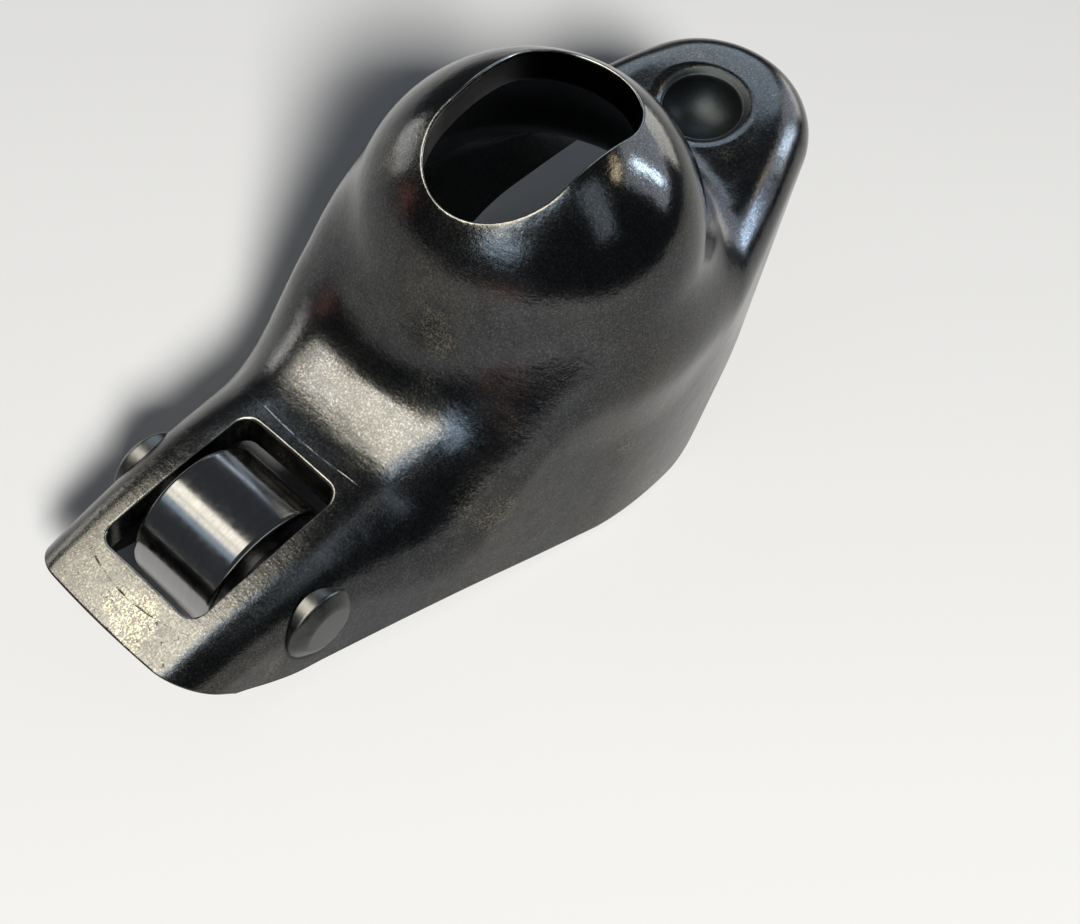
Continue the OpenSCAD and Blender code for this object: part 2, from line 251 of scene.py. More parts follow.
def outer_points():
    """outer points and their normals, section by section, from the mirror plane to the near rim"""
    x, turn = sections()
    lean = NOSE_CUT * np.clip(1 - (x - NOSE_X) / NOSE_CUT_LEN, 0, None) ** 2
    aside = np.stack([np.sin(turn), -np.cos(turn), 0 * turn], 1)
    aside[-1] = (1, 0, 0)
    lowest = SHEET * LEAN / math.hypot(1, LEAN)
    z = np.full(len(x), 8.0)
    for _ in range(6):
        q = np.stack([x + lean * (web_line(x) - z), 0 * x, z], 1)
        z = np.maximum(lowest, rim_line(reach(q, aside)[:, 0]))
    q = np.stack([x + lean * (web_line(x) - z), 0 * x, z], 1)
    t = np.radians(90 * (1 - np.arange(POINTS) / (POINTS - 1)))
    up = np.stack([-lean, 0 * lean, 1 + 0 * lean], 1)
    ray = np.cos(t)[None, :, None] * aside[:, None] + np.sin(t)[None, :, None] * up[:, None]
    p = reach(np.repeat(q[:, None], POINTS, 1), ray)
    p[:, 0, 1] = 0
    p[-1, :, 1] = 0
    n = normal(p)
    n[:, 0, 1] = 0
    n[-1, :, 1] = 0
    # the nose's end face stays flat
    w = np.array([1, 0, lean[0]])
    w /= np.linalg.norm(w)
    n[0] -= (n[0] @ w)[:, None] * w
    n /= np.linalg.norm(n, axis=-1, keepdims=True)
    return p, n


def full_rows(a):
    """the same sections from the near rim, over the ridge, to the far rim"""
    return np.concatenate([a[:, ::-1], a[:, 1:] * (1, -1, 1)], 1)


def unit(v):
    return v / np.linalg.norm(v)


def into_sheet(a, i, j):
    """the step from an edge point of the grid a into the sheet"""
    step = np.zeros(3)
    if j == 0:
        step += unit(a[i, 1] - a[i, 0])
    if j == a.shape[1] - 1:
        step += unit(a[i, j - 1] - a[i, j])
    if i == 0:
        step += unit(a[1, j] - a[0, j])
    return step


def grid_triangles(rows, width):
    """two triangles for each cell of a grid"""
    i, j = np.meshgrid(np.arange(rows - 1), np.arange(width - 1), indexing="ij")
    a, b = i * width + j, (i + 1) * width + j
    c, d = b + 1, a + 1
    return np.concatenate([np.stack([a, c, b], -1).reshape(-1, 3), np.stack([a, d, c], -1).reshape(-1, 3)])


def proper(t):
    """the triangles that have three different corners"""
    return t[(t[:, 0] != t[:, 1]) & (t[:, 1] != t[:, 2]) & (t[:, 0] != t[:, 2])]


def quarter_turn(steps=4):
    """the angles of a rounded edge's rings, without the first"""
    return np.linspace(0, math.pi / 2, steps + 1)[1:]


class Surface:
    """a triangle mesh that holes are cut in"""

    def __init__(self, verts, tris):
        self.v = verts
        self.t = tris

    def snap(self, h, edges):
        """moves points that lie close to h = 0, measured along the edges that cross it, onto it"""
        near = {}
        for i, j in edges:
            r = h[i] / (h[i] - h[j])
            for k, w, other in ((i, r, j), (j, 1 - r, i)):
                if w < SNAP and (k not in near or w < near[k][0]):
                    near[k] = (w, other)
        base = self.v.copy()
        for k, (w, other) in near.items():
            self.v[k] = base[k] + w * (base[other] - base[k])
            h[k] = 0.0

    def clip(self, h, use):
        """drops what has h < 0 among the points in use, and returns the ids along the cut"""
        v, t = self.v, self.t
        h = np.where(use, h, np.abs(h) + 9)
        touch = (h[t].min(1) < 0) & (h[t].max(1) > 0)
        e = np.unique(np.sort(all_edges(t[touch]), 1), axis=0)
        self.snap(h, e[h[e[:, 0]] * h[e[:, 1]] < 0])
        new, cut = [], {}

        def crossing(i, j):
            key = (min(i, j), max(i, j))
            if key not in cut:
                r = h[key[0]] / (h[key[0]] - h[key[1]])
                cut[key] = len(v) + len(new)
                new.append(v[key[0]] + r * (v[key[1]] - v[key[0]]))
            return cut[key]
        keep = list(t[h[t].min(1) >= 0])
        for tri in t[(h[t].min(1) < 0) & (h[t].max(1) > 0)]:
            poly = []
            for i, j in zip(tri, np.roll(tri, -1)):
                if h[i] >= 0:
                    poly.append(i)
                if h[i] * h[j] < 0:
                    poly.append(crossing(i, j))
            keep += [(poly[0], poly[k], poly[k + 1]) for k in range(1, len(poly) - 1)]
        if new:
            self.v = np.concatenate([v, np.array(new)])
        self.t = np.array(keep, int)
        h = np.concatenate([h, np.zeros(len(new))])
        # the open edges that lie on h = 0
        e = all_edges(self.t)
        e = e[(h[e[:, 0]] == 0) & (h[e[:, 1]] == 0)]
        seen = set(map(tuple, e.tolist()))
        return np.array(sorted({i for edge in seen if edge[::-1] not in seen for i in edge}))


def all_edges(t):
    return np.concatenate([t[:, [0, 1]], t[:, [1, 2]], t[:, [2, 0]]])


class Mesh:
    """points and triangles that are put together piece by piece"""

    def __init__(self):
        self.points, self.tris, self.count = [], [], 0

    def add(self, points):
        """adds points and returns their ids"""
        self.points.append(points)
        self.count += len(points)
        return np.arange(self.count - len(points), self.count)

    def band(self, a, b):
        """triangles between two closed loops of the same length"""
        c, d = np.roll(a, -1), np.roll(b, -1)
        self.tris += [np.stack([a, c, d], -1), np.stack([a, d, b], -1)]

    def zip_up(self, a, turn_a, b, turn_b):
        """triangles between two closed loops of any length, given each point's turn from 0 to 1"""
        k, m = np.argsort(turn_a), np.argsort(turn_b)
        a, turn_a, b, turn_b = a[k], turn_a[k], b[m], turn_b[m]
        i = j = 0
        out = []
        while i < len(a) or j < len(b):
            next_a, next_b = (i + 1) % len(a), (j + 1) % len(b)
            here = (a[i % len(a)], b[j % len(b)])
            # a loop that is used up waits for the other one
            after_a = turn_a[next_a] + (next_a == 0) if i < len(a) else 9
            after_b = turn_b[next_b] + (next_b == 0) if j < len(b) else 9
            if after_a < after_b:
                out.append((here[0], a[next_a], here[1]))
                i += 1
            else:
                out.append((here[0], b[next_b], here[1]))
                j += 1
        self.tris.append(np.array(out))

    def finish(self):
        """the points that are used and the triangles between them"""
        t = proper(np.concatenate(self.tris))
        used, ids = np.unique(t, return_inverse=True)
        return np.concatenate(self.points)[used], ids.reshape(-1, 3)


class Opening:
    """a rounded rectangle seen from above, of half sizes a and b and corner k; a circle has a = b = k"""

    def __init__(self, centre, a, b, k, count):
        self.c, self.a, self.b, self.k = np.array(centre, float), a, b, k
        arc = math.pi / 2 * k
        total = 4 * (b - k) + 4 * (a - k) + 4 * arc
        corners = np.array([(a - k, b - k), (k - a, b - k), (k - a, k - b), (a - k, k - b)])
        points, normals = [], []
        for q in range(4):
            n = max(6, int(count * arc / total))
            for i in range(n):
                w = q * math.pi / 2 + math.pi / 2 * i / n
                normals.append(np.array([math.cos(w), math.sin(w)]))
                points.append(corners[q] + k * normals[-1])
            # the straight stretch to the next corner
            step = corners[(q + 1) % 4] - corners[q]
            length = np.linalg.norm(step)
            if length < 1e-9:
                continue
            w = (q + 1) * math.pi / 2
            n = max(1, int(count * length / total))
            for i in range(n):
                normals.append(np.array([math.cos(w), math.sin(w)]))
                points.append(corners[q] + step * i / n + k * normals[-1])
        self.p = np.array(points) + self.c
        self.n = np.array(normals)

    def outside(self, p):
        """distance of points p outside the outline"""
        x = np.abs(p[:, 0] - self.c[0]) - (self.a - self.k)
        y = np.abs(p[:, 1] - self.c[1]) - (self.b - self.k)
        return np.hypot(np.maximum(x, 0), np.maximum(y, 0)) + np.minimum(np.maximum(x, y), 0) - self.k

    def turn(self, p):
        """how far round the outline points p lie, from 0 to 1"""
        w = np.arctan2(p[:, 1] - self.c[1], p[:, 0] - self.c[0])
        return (w / (2 * math.pi)) % 1.0


SLOT = Opening((SLOT_SHIFT, 0), SLOT_LEN / 2, SLOT_W / 2, SLOT_W / 2, 200)
WIN_X = ROLLER_X + (WIN_REAR - WIN_FRONT) / 2
WINDOW = Opening((WIN_X, 0), (WIN_FRONT + WIN_REAR) / 2, WIN_W / 2, WIN_K, 160)


def edge_rings(opening, radius, surface_z, way):
    """rings that round an opening's edge, from a surface downward (way -1) or upward (way 1)"""
    rings = []
    for w in quarter_turn():
        q = opening.p + opening.n * radius * (1 - math.sin(w))
        z = surface_z(q[:, 0], q[:, 1]) + way * radius * (1 - math.cos(w))
        rings.append(np.column_stack([q, z]))
    return rings


def cut_through(opening, outer, inner, rounding):
    """cuts an upright opening in both surfaces; returns the cut ids and the rings between them"""
    r_top, r_low = rounding
    # only the upper part of each surface is cut, not the walls below it
    cut_outer = outer.clip(opening.outside(outer.v) - r_top, outer.v[:, 2] > 7)
    cut_inner = inner.clip(opening.outside(inner.v) - r_low, inner.v[:, 2] > 4.5)
    top, low = edge_rings(opening, r_top, top_z, -1), edge_rings(opening, r_low, under_z, 1)
    wall = [top[-1] + (low[-1] - top[-1]) * s for s in (0.25, 0.5, 0.75)]
    return cut_outer, cut_inner, top + wall + low[::-1]


def sheet_edge(mesh, outer_ids, inner_ids, outer_edge, inner_edge, outer_step, inner_step):
    """closes the gap along the sheet's edge, with both corners rounded"""
    r_out, r_in = EDGE_ROUND
    thick = inner_edge - outer_edge
    down = thick / np.linalg.norm(thick, axis=1, keepdims=True)
    rings = []
    for w in quarter_turn():
        rings.append(outer_edge + r_out * outer_step * (1 - math.sin(w)) + r_out * down * (1 - math.cos(w)))
    rings.append((rings[-1] + inner_edge - r_in * down) / 2)
    for w in quarter_turn()[::-1]:
        rings.append(inner_edge + r_in * inner_step * (1 - math.sin(w)) - r_in * down * (1 - math.cos(w)))
    loops = [outer_ids] + [mesh.add(ring) for ring in rings] + [inner_ids]
    for a, b in zip(loops[:-1], loops[1:]):
        mesh.band(a, b)


def build_arm():
    """the pressed arm as one closed mesh: points and triangles"""
    p, n = outer_points()
    outer_grid, inner_grid = full_rows(p), full_rows(inner_of(p, n))
    rows, width = outer_grid.shape[:2]
    # the sheet's edge: along the near rim to the nose, across it, and back along the far rim
    edge = [(i, 0) for i in range(rows - 1, -1, -1)]
    edge += [(0, j) for j in range(1, width)]
    edge += [(i, width - 1) for i in range(1, rows - 1)]
    i, j = np.array(edge).T
    outer_edge, inner_edge = outer_grid[i, j], inner_grid[i, j]
    outer_step = np.array([into_sheet(outer_grid, *place) for place in edge])
    inner_step = np.array([into_sheet(inner_grid, *place) for place in edge])
    outer_grid[i, j] = outer_edge + EDGE_ROUND[0] * outer_step
    inner_grid[i, j] = inner_edge + EDGE_ROUND[1] * inner_step
    # the last section folds onto itself
    ids = np.arange(rows * width)
    last = ids[-width:]
    half = width // 2
    last[half + 1:] = last[:half][::-1]
    t = proper(ids[grid_triangles(rows, width)])
    outer = Surface(outer_grid.reshape(-1, 3), t)
    inner = Surface(inner_grid.reshape(-1, 3), t[:, ::-1])

    slot = cut_through(SLOT, outer, inner, SLOT_ROUND)
    window = cut_through(WINDOW, outer, inner, WIN_ROUND)
    # the pushrod cup: rings in its own leaning frame, from the pad in to the bottom
    pad_r, mid_r, tip_r = 5.9, 3.5, 0.12
    cup = Opening((0, 0), pad_r, pad_r, pad_r, 120)
    cut_cup = outer.clip(cup.outside(cup_uvh(outer.v)), outer.v[:, 2] > 18)
    radii = [*np.linspace(pad_r, mid_r, 34)[1:], *np.linspace(mid_r, tip_r, 18)[1:]]
    cup_rings = [cup_floor(cup.n * r) for r in radii]
    cup_bottom = cup_floor(np.zeros((1, 2)))

    mesh = Mesh()
    outer_ids, inner_ids = mesh.add(outer.v), mesh.add(inner.v)
    mesh.tris += [outer.t, inner.t + inner_ids[0]]
    for opening, (cut_outer, cut_inner, rings) in ((SLOT, slot), (WINDOW, window)):
        loops = [mesh.add(ring) for ring in rings]
        for a, b in zip(loops[:-1], loops[1:]):
            mesh.band(a, b)
        mesh.zip_up(cut_outer, opening.turn(outer.v[cut_outer]), loops[0], opening.turn(rings[0]))
        mesh.zip_up(inner_ids[cut_inner], opening.turn(inner.v[cut_inner]),
                    loops[-1], opening.turn(rings[-1]))
    loops = [mesh.add(ring) for ring in cup_rings]
    for a, b in zip(loops[:-1], loops[1:]):
        mesh.band(a, b)
    mesh.zip_up(cut_cup, cup.turn(cup_uvh(outer.v[cut_cup])), loops[0], cup.turn(cup_uvh(cup_rings[0])))
    bottom = mesh.add(cup_bottom)
    mesh.tris.append(np.stack([loops[-1], np.roll(loops[-1], -1), np.repeat(bottom, len(cup.p))], -1))
    edge_ids = ids[i * width + j]
    sheet_edge(mesh, edge_ids, inner_ids[edge_ids], outer_edge, inner_edge, outer_step, inner_step)
    return mesh.finish()


# the pieces in the row's frame, whose X = 0 is the middle of the part's box
roller_lo, roller_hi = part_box("tip_roller")
LAY_X = (roller_lo.x + roller_hi.x) / 2 * 1000 - ROLLER_X


def metres(x):
    """a place along the arm, from millimetres to the row's frame"""
    return (x + LAY_X) / 1000


def soft_normals(me):
    """vertex normals weighted by area, so that small edge faces don't tilt the large ones"""
    normals = np.zeros((len(me.vertices), 3))
    for poly in me.polygons:
        normals[list(poly.vertices)] += np.array(poly.normal) * poly.area
    normals /= np.maximum(np.linalg.norm(normals, axis=1, keepdims=True), 1e-20)
    me.polygons.foreach_set("use_smooth", [True] * len(me.polygons))
    me.normals_split_custom_set_from_vertices(normals.tolist())


def to_object(name, points, faces, slot, node, body, material):
    """a closed smooth mesh in metres that takes the place of a CAD node, inside its box"""
    lo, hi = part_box(node)
    points = np.clip((np.asarray(points) + [LAY_X, 0, 0]) / 1000, np.array(lo), np.array(hi))
    me = bpy.data.meshes.new(name)
    me.from_pydata(points.tolist(), [], [tuple(map(int, f)) for f in faces])
    me.update()
    bm = bmesh.new()
    bm.from_mesh(me)
    bmesh.ops.dissolve_degenerate(bm, dist=2e-7, edges=bm.edges)
    bmesh.ops.recalc_face_normals(bm, faces=bm.faces)
    bm.to_mesh(me)
    bm.free()
    soft_normals(me)
    me.materials.append(material)
    ob = bpy.data.objects.new(name, me)
    bpy.context.scene.collection.objects.link(ob)
    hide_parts(node)
    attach(ob, body)
    return ob


def lathe(profile, count):
    """turns (radius, y) points about the roller's axis: a ring, or a rod whose profile ends on the axis"""
    turns = np.linspace(0, 2 * math.pi, count, endpoint=False)
    points = [(ROLLER_X + r * math.cos(w), y, ROLLER_R + r * math.sin(w)) for r, y in profile for w in turns]
    rings = np.arange(len(points)).reshape(-1, count)
    poles = [r == 0 for r, y in profile]
    faces = []
    for k in range(len(profile) - any(poles)):
        after = (k + 1) % len(profile)
        a, b = rings[k], rings[after]
        for i in range(count):
            j = (i + 1) % count
            if poles[k]:
                faces.append((a[0], b[j], b[i]))
            elif poles[after]:
                faces.append((a[i], a[j], b[0]))
            else:
                faces.append((a[i], a[j], b[j], b[i]))
    used = sorted({i for f in faces for i in f})
    new = {old: i for i, old in enumerate(used)}
    return np.array(points)[used], [tuple(new[i] for i in f) for f in faces]


def bevel_profile(points, radii, steps):
    """rounds the corners of a profile, each by its own radius"""
    out = []
    points = np.array(points, float)
    for k, r in enumerate(radii):
        p = points[k]
        if r <= 0:
            out.append(tuple(p))
            continue
        a, b = unit(points[k - 1] - p), unit(points[(k + 1) % len(points)] - p)
        for s in np.linspace(0, 1, steps + 1):
            out.append(tuple(p + a * r * (1 - s) ** 2 + b * r * s ** 2))
    return out


# materials
class Steel:
    """a metal, with a short call for each kind of node; places on it are in millimetres"""

    def __init__(self, name):
        self.material = bpy.data.materials.new(name)
        self.material.use_nodes = True
        self.tree = self.material.node_tree
        self.shader = self.tree.nodes["Principled BSDF"]
        self.shader.inputs["Metallic"].default_value = 1.0
        self.place = self.tree.nodes.new("ShaderNodeTexCoord").outputs["Object"]

    def plug(self, socket, value):
        """links a socket, or sets it to a number, a vector or a colour"""
        if isinstance(value, bpy.types.NodeSocket):
            self.tree.links.new(value, socket)
        elif socket.type == "RGBA":
            socket.default_value = (*value, 1)
        else:
            socket.default_value = value

    def finish(self, color, roughness, surface):
        self.plug(self.shader.inputs["Base Color"], color)
        self.plug(self.shader.inputs["Roughness"], roughness)
        self.plug(self.shader.inputs["Normal"], surface)
        return self.material

    def stretched(self, scale):
        """places with each axis scaled, for grain that runs one way"""
        n = self.tree.nodes.new("ShaderNodeMapping")
        n.inputs["Scale"].default_value = scale
        self.plug(n.inputs["Vector"], self.place)
        return n.outputs["Vector"]

    def axes(self):
        n = self.tree.nodes.new("ShaderNodeSeparateXYZ")
        self.plug(n.inputs[0], self.place)
        return n.outputs[0], n.outputs[1]

    def noise(self, scale, detail, rough, distortion=0.0, place=None):
        n = self.tree.nodes.new("ShaderNodeTexNoise")
        n.inputs["Scale"].default_value = scale
        n.inputs["Detail"].default_value = detail
        n.inputs["Roughness"].default_value = rough
        n.inputs["Distortion"].default_value = distortion
        self.plug(n.inputs["Vector"], self.place if place is None else place)
        return n.outputs["Fac"]

    def ramp(self, value, stops):
        """a colour for each value, through stops of (value, colour)"""
        n = self.tree.nodes.new("ShaderNodeValToRGB")
        marks = n.color_ramp.elements
        while len(marks) < len(stops):
            marks.new(0.5)
        for mark, (position, color) in zip(marks, stops):
            mark.position = position
            mark.color = (*color, 1)
        self.plug(n.inputs["Fac"], value)
        return n.outputs["Color"]

    def remap(self, value, from_lo, from_hi, to_lo, to_hi):
        n = self.tree.nodes.new("ShaderNodeMapRange")
        n.inputs["From Min"].default_value = from_lo
        n.inputs["From Max"].default_value = from_hi
        n.inputs["To Min"].default_value = to_lo
        n.inputs["To Max"].default_value = to_hi
        self.plug(n.inputs["Value"], value)
        return n.outputs["Result"]

    def math(self, operation, a, b=0.0):
        n = self.tree.nodes.new("ShaderNodeMath")
        n.operation = operation
        self.plug(n.inputs[0], a)
        self.plug(n.inputs[1], b)
        return n.outputs[0]

    def times(self, a, b):
        return self.math("MULTIPLY", a, b)

    def plus(self, a, b):
        return self.math("ADD", a, b)

    def either(self, a, b):
        return self.math("MAXIMUM", a, b)

    def size(self, a):
        return self.math("ABSOLUTE", a)

    def mix(self, amount, a, b):
        """colour a, with colour b over it by an amount from 0 to 1"""
        n = self.tree.nodes.new("ShaderNodeMix")
        n.data_type = "RGBA"
        colors = [s for s in n.inputs if s.type == "RGBA"]
        self.plug(n.inputs[0], amount)
        self.plug(colors[0], a)
        self.plug(colors[1], b)
        return [s for s in n.outputs if s.type == "RGBA"][0]

    def bump(self, height, distance, strength=1.0, under=None):
        """relief of a depth in metres, over other relief if given"""
        n = self.tree.nodes.new("ShaderNodeBump")
        n.inputs["Strength"].default_value = strength
        n.inputs["Distance"].default_value = distance
        self.plug(n.inputs["Height"], height)
        if under is not None:
            self.plug(n.inputs["Normal"], under)
        return n.outputs["Normal"]

    def along(self, x, x0, x1, at_x0, at_x1):
        """a value that changes between two places along the arm"""
        return self.remap(x, metres(x0), metres(x1), at_x0, at_x1)

    def near(self, x, z, r0, r1, place=None):
        """1 within r0 of a point on the mirror plane, 0 beyond r1"""
        n = self.tree.nodes.new("ShaderNodeVectorMath")
        n.operation = "DISTANCE"
        self.plug(n.inputs[0], self.place if place is None else place)
        n.inputs[1].default_value = (metres(x), 0, z / 1000)
        return self.remap(n.outputs["Value"], r0 / 1000, r1 / 1000, 1.0, 0.0)

    def flattened(self):
        """places moved onto the mirror plane"""
        n = self.tree.nodes.new("ShaderNodeVectorMath")
        n.operation = "MULTIPLY"
        self.plug(n.inputs[0], self.place)
        n.inputs[1].default_value = (1, 0, 1)
        return n.outputs[0]

    def beside(self, opening, x, y, r0, r1):
        """1 beside an opening's outline, 0 beyond r1 from it"""
        def past(value, middle, half):
            away = self.size(self.math("SUBTRACT", value, middle))
            return self.either(self.math("SUBTRACT", away, half / 1000), 0.0)
        u = past(x, metres(opening.c[0]), opening.a - opening.k)
        v = past(y, 0.0, opening.b - opening.k)
        away = self.math("SQRT", self.plus(self.times(u, u), self.times(v, v)))
        away = self.size(self.math("SUBTRACT", away, opening.k / 1000))
        return self.remap(away, r0 / 1000, r1 / 1000, 1.0, 0.0)

    def tool_mark(self, x, y, x0, curve, wide, reach):
        """1 along a mark across the arm at x0 + curve y^2, which ends at |y| = reach"""
        y = self.times(y, 1000.0)
        from_x0 = self.math("SUBTRACT", self.times(x, 1000.0), x0 + LAY_X)
        off = self.math("SUBTRACT", from_x0, self.times(self.times(y, y), curve))
        line = self.remap(self.size(off), 0.0, wide, 1.0, 0.0)
        return self.times(line, self.remap(self.size(y), reach - 0.6, reach, 1.0, 0.0))


def pressed_steel():
    """dark oiled sheet: grain, pits, drawing marks, scuffs, bare edges round the openings; painted shade in
    hollows
    """
    s = Steel("pressed steel")
    x, y = s.axes()
    big = s.noise(55, 3, 0.55, 0.4)
    mid = s.noise(260, 4, 0.6)
    fine = s.noise(1500, 3, 0.65)
    grain = s.noise(5600, 3, 0.7)
    salt = s.noise(9500, 1, 0.5)
    drawn = s.noise(190, 3, 0.6, place=s.stretched((6, 1, 6)))
    cloud = s.noise(420, 3, 0.6, 0.6)
    # 1 on the nose and the neck, 0 from the dome on
    front = s.along(x, -12, -2, 1.0, 0.0)

    tones = [(0.3, (0.064, 0.067, 0.074)), (0.52, (0.078, 0.077, 0.073)), (0.7, (0.096, 0.092, 0.081))]
    color = s.mix(s.times(front, s.remap(cloud, 0.38, 0.56, 0.40, 0.0)), s.ramp(big, tones),
                  (0.036, 0.035, 0.033))
    color = s.mix(s.remap(grain, 0.40, 0.62, 0.7, 0.0), color, (0.030, 0.030, 0.031))
    color = s.mix(s.remap(grain, 0.57, 0.72, 0.0, 0.35), color, (0.20, 0.19, 0.165))
    color = s.mix(s.remap(salt, 0.30, 0.40, 0.6, 0.0), color, (0.015, 0.015, 0.015))
    scuff = s.remap(s.noise(140, 2, 0.5), 0.64, 0.70, 0.0, 0.45)
    scuff = s.times(scuff, s.remap(grain, 0.48, 0.60, 0.0, 1.0))
    color = s.mix(scuff, color, (0.25, 0.225, 0.165))
    pits = s.remap(s.noise(1900, 3, 0.65, 0.9), 0.31, 0.37, 1.0, 0.0)
    color = s.mix(s.times(pits, s.along(x, -38, -41, 0.35, 1.0)), color, (0.010, 0.010, 0.010))
    # painted shade: a dark ring in the crease round the nose's side of each pin end, where the gap to the
    # wall is shaded
    pin_gap_shade = s.near(ROLLER_X, ROLLER_R, PIN_R + 0.12, PIN_R + 0.30, s.flattened())
    pin_gap_shade = s.times(pin_gap_shade, s.along(x, ROLLER_X - 1.5, ROLLER_X + 0.5, 0.85, 0.0))
    color = s.mix(pin_gap_shade, color, (0.008, 0.008, 0.008))
    # worn metal along the edges of the slot and the window, and two tool marks beside the window
    worn = s.either(s.beside(SLOT, x, y, 0.04, 0.25), s.beside(WINDOW, x, y, 0.04, 0.24))
    worn = s.times(worn, s.remap(mid, 0.40, 0.56, 0.15, 1.0))
    color = s.mix(s.times(worn, 0.6), color, (0.30, 0.29, 0.265))
    mark = s.either(*(s.tool_mark(x, y, *place) for place in TOOL_MARKS))
    mark = s.times(mark, s.remap(s.noise(700, 2, 0.5), 0.42, 0.60, 0.15, 1.0))
    # painted shade: the tool marks are darkened along their grooves
    color = s.mix(s.times(mark, 0.18), color, (0.015, 0.015, 0.014))
    # the ball seat and the pushrod cup are duller, and painted shade darkens their colour; the slot's wall
    # gets the darkest painted shade
    seat = s.near(0, DOME_Z, DOME_R - 0.5, DOME_R - 0.2)
    dull_shaded_hollow = s.either(seat, s.near(CUP_X + 0.2, CUP_Z + 0.6, CUP_R + 0.2, CUP_R + 0.5))
    color = s.mix(s.times(dull_shaded_hollow, 0.85), color, (0.015, 0.018, 0.020))
    color = s.mix(s.times(s.beside(SLOT, x, y, 0.03, 0.10), dull_shaded_hollow), color, (0.004, 0.004, 0.005))

    # the dome is smoother than the pushrod end, and that is smoother than the neck and the nose
    coarse = s.plus(s.times(front, s.along(x, -29, -24, 0.55, 0.45)), s.along(x, 8, 15, 0.45, 0.85))
    rough = s.plus(s.remap(mid, 0.3, 0.7, 0.13, 0.24), s.remap(grain, 0.3, 0.7, -0.03, 0.05))
    rough = s.plus(s.plus(s.times(rough, coarse), 0.03), s.times(dull_shaded_hollow, 0.25))

    relief = s.bump(big, 0.00030, 0.55)
    relief = s.bump(mid, 0.00008, 0.6, relief)
    relief = s.bump(s.times(drawn, front), 0.00004, 0.6, relief)
    relief = s.bump(s.times(fine, coarse), 0.000016, 0.8, relief)
    relief = s.bump(s.times(grain, coarse), 0.000010, 1.0, relief)
    relief = s.bump(mark, -0.00002, 1.0, relief)
    return s.finish(color, rough, relief)


def ground_steel():
    """bright steel with fine streaks round the tread"""
    s = Steel("ground steel")
    streak = s.noise(60, 4, 0.6, place=s.stretched((1, 60, 1)))
    color = s.ramp(streak, [(0.3, (0.26, 0.26, 0.265)), (0.7, (0.31, 0.305, 0.30))])
    rough = s.remap(s.noise(1800, 3, 0.6), 0.3, 0.7, 0.13, 0.22)
    return s.finish(color, rough, s.bump(streak, 0.000003, 0.6))


def pin_steel():
    """plain satin steel"""
    s = Steel("pin steel")
    fine = s.noise(900, 3, 0.6)
    color = s.ramp(fine, [(0.3, (0.045, 0.046, 0.048)), (0.7, (0.075, 0.074, 0.07))])
    return s.finish(color, s.remap(fine, 0.3, 0.7, 0.26, 0.38), s.bump(fine, 0.00001, 0.7))


# the pieces
def make_roller():
    """a ring with rounded edges that turns on the pin"""
    half, bore = ROLLER_W / 2, PIN_R + PIN_PLAY
    profile = [(bore, -half), (ROLLER_R, -half), (ROLLER_R, half), (bore, half)]
    points, faces = lathe(bevel_profile(profile, [0.25, 0.5, 0.5, 0.25], 5), 144)
    return to_object("ground_roller", points, faces, "ground_steel", "tip_roller", "roller", ground_steel())


def make_pin():
    """a rod whose chamfered ends stand out of the walls"""
    shoulder = PIN_HALF - PIN_CHAM
    profile = [(0, -PIN_HALF), (PIN_FLAT, -PIN_HALF), (PIN_R, -shoulder),
               (PIN_R, shoulder), (PIN_FLAT, PIN_HALF), (0, PIN_HALF)]
    points, faces = lathe(bevel_profile(profile, [0, 0.3, 0.25, 0.25, 0.3, 0], 4), 120)
    return to_object("pressed_pin", points, faces, "pin_steel", "roller_pin", "arm", pin_steel())


def make_floor(half=1.2):
    """a plain pale floor that reaches half its width in metres to each side"""
    me = bpy.data.meshes.new("floor")
    corners = [(-half, -half, 0), (half, -half, 0), (half, half, 0), (-half, half, 0)]
    me.from_pydata(corners, [], [(0, 1, 2, 3)])
    ob = bpy.data.objects.new("floor", me)
    bpy.context.scene.collection.objects.link(ob)
    pale = bpy.data.materials.new("floor")
    pale.use_nodes = True
    shader = pale.node_tree.nodes["Principled BSDF"]
    shader.inputs["Base Color"].default_value = (0.86, 0.86, 0.86, 1)
    shader.inputs["Roughness"].default_value = 0.9
    shader.inputs["Specular IOR Level"].default_value = 0.1
    me.materials.append(pale)
    return ob


arm = to_object("pressed_arm", *build_arm(), "pressed_steel", "arm_body", "arm", pressed_steel())
roller = make_roller()
pin = make_pin()
floor = make_floor()


# the lights
def group(name, *members):
    """what a set of lights is kept to, so that the floor stays even and the roller has its own bands"""
    g = bpy.data.collections.new(name)
    bpy.context.scene.collection.children.link(g)
    for ob in members:
        g.objects.link(ob)
    return g


def softbox(name, where, at, size, radiance, color, seen_by):
    """a rectangular soft light of a given brightness, turned to a point and kept to one group"""
    light = bpy.data.lights.new(name, "AREA")
    light.shape = "RECTANGLE"
    light.size, light.size_y = size
    light.energy = radiance * math.pi * size[0] * size[1]
    light.color = color
    ob = bpy.data.objects.new(name, light)
    ob.location = where
    ob.rotation_euler = (Vector(at) - Vector(where)).to_track_quat("-Z", "Y").to_euler()
    ob.light_linking.receiver_collection = seen_by
    bpy.context.scene.collection.objects.link(ob)


ARM_LIT = group("press_group", arm, pin)
ROLLER_LIT = group("roller_group", roller)
FLOOR_LIT = group("floor_group", floor)
CREAM, WARM_WHITE = (1.0, 0.95, 0.82), (1.0, 0.98, 0.92)
COOL, PALE_COOL = (0.62, 0.80, 1.0), (0.75, 0.87, 1.0)
PANEL_Z = 0.50
AIM = (0, 0, 0.015)

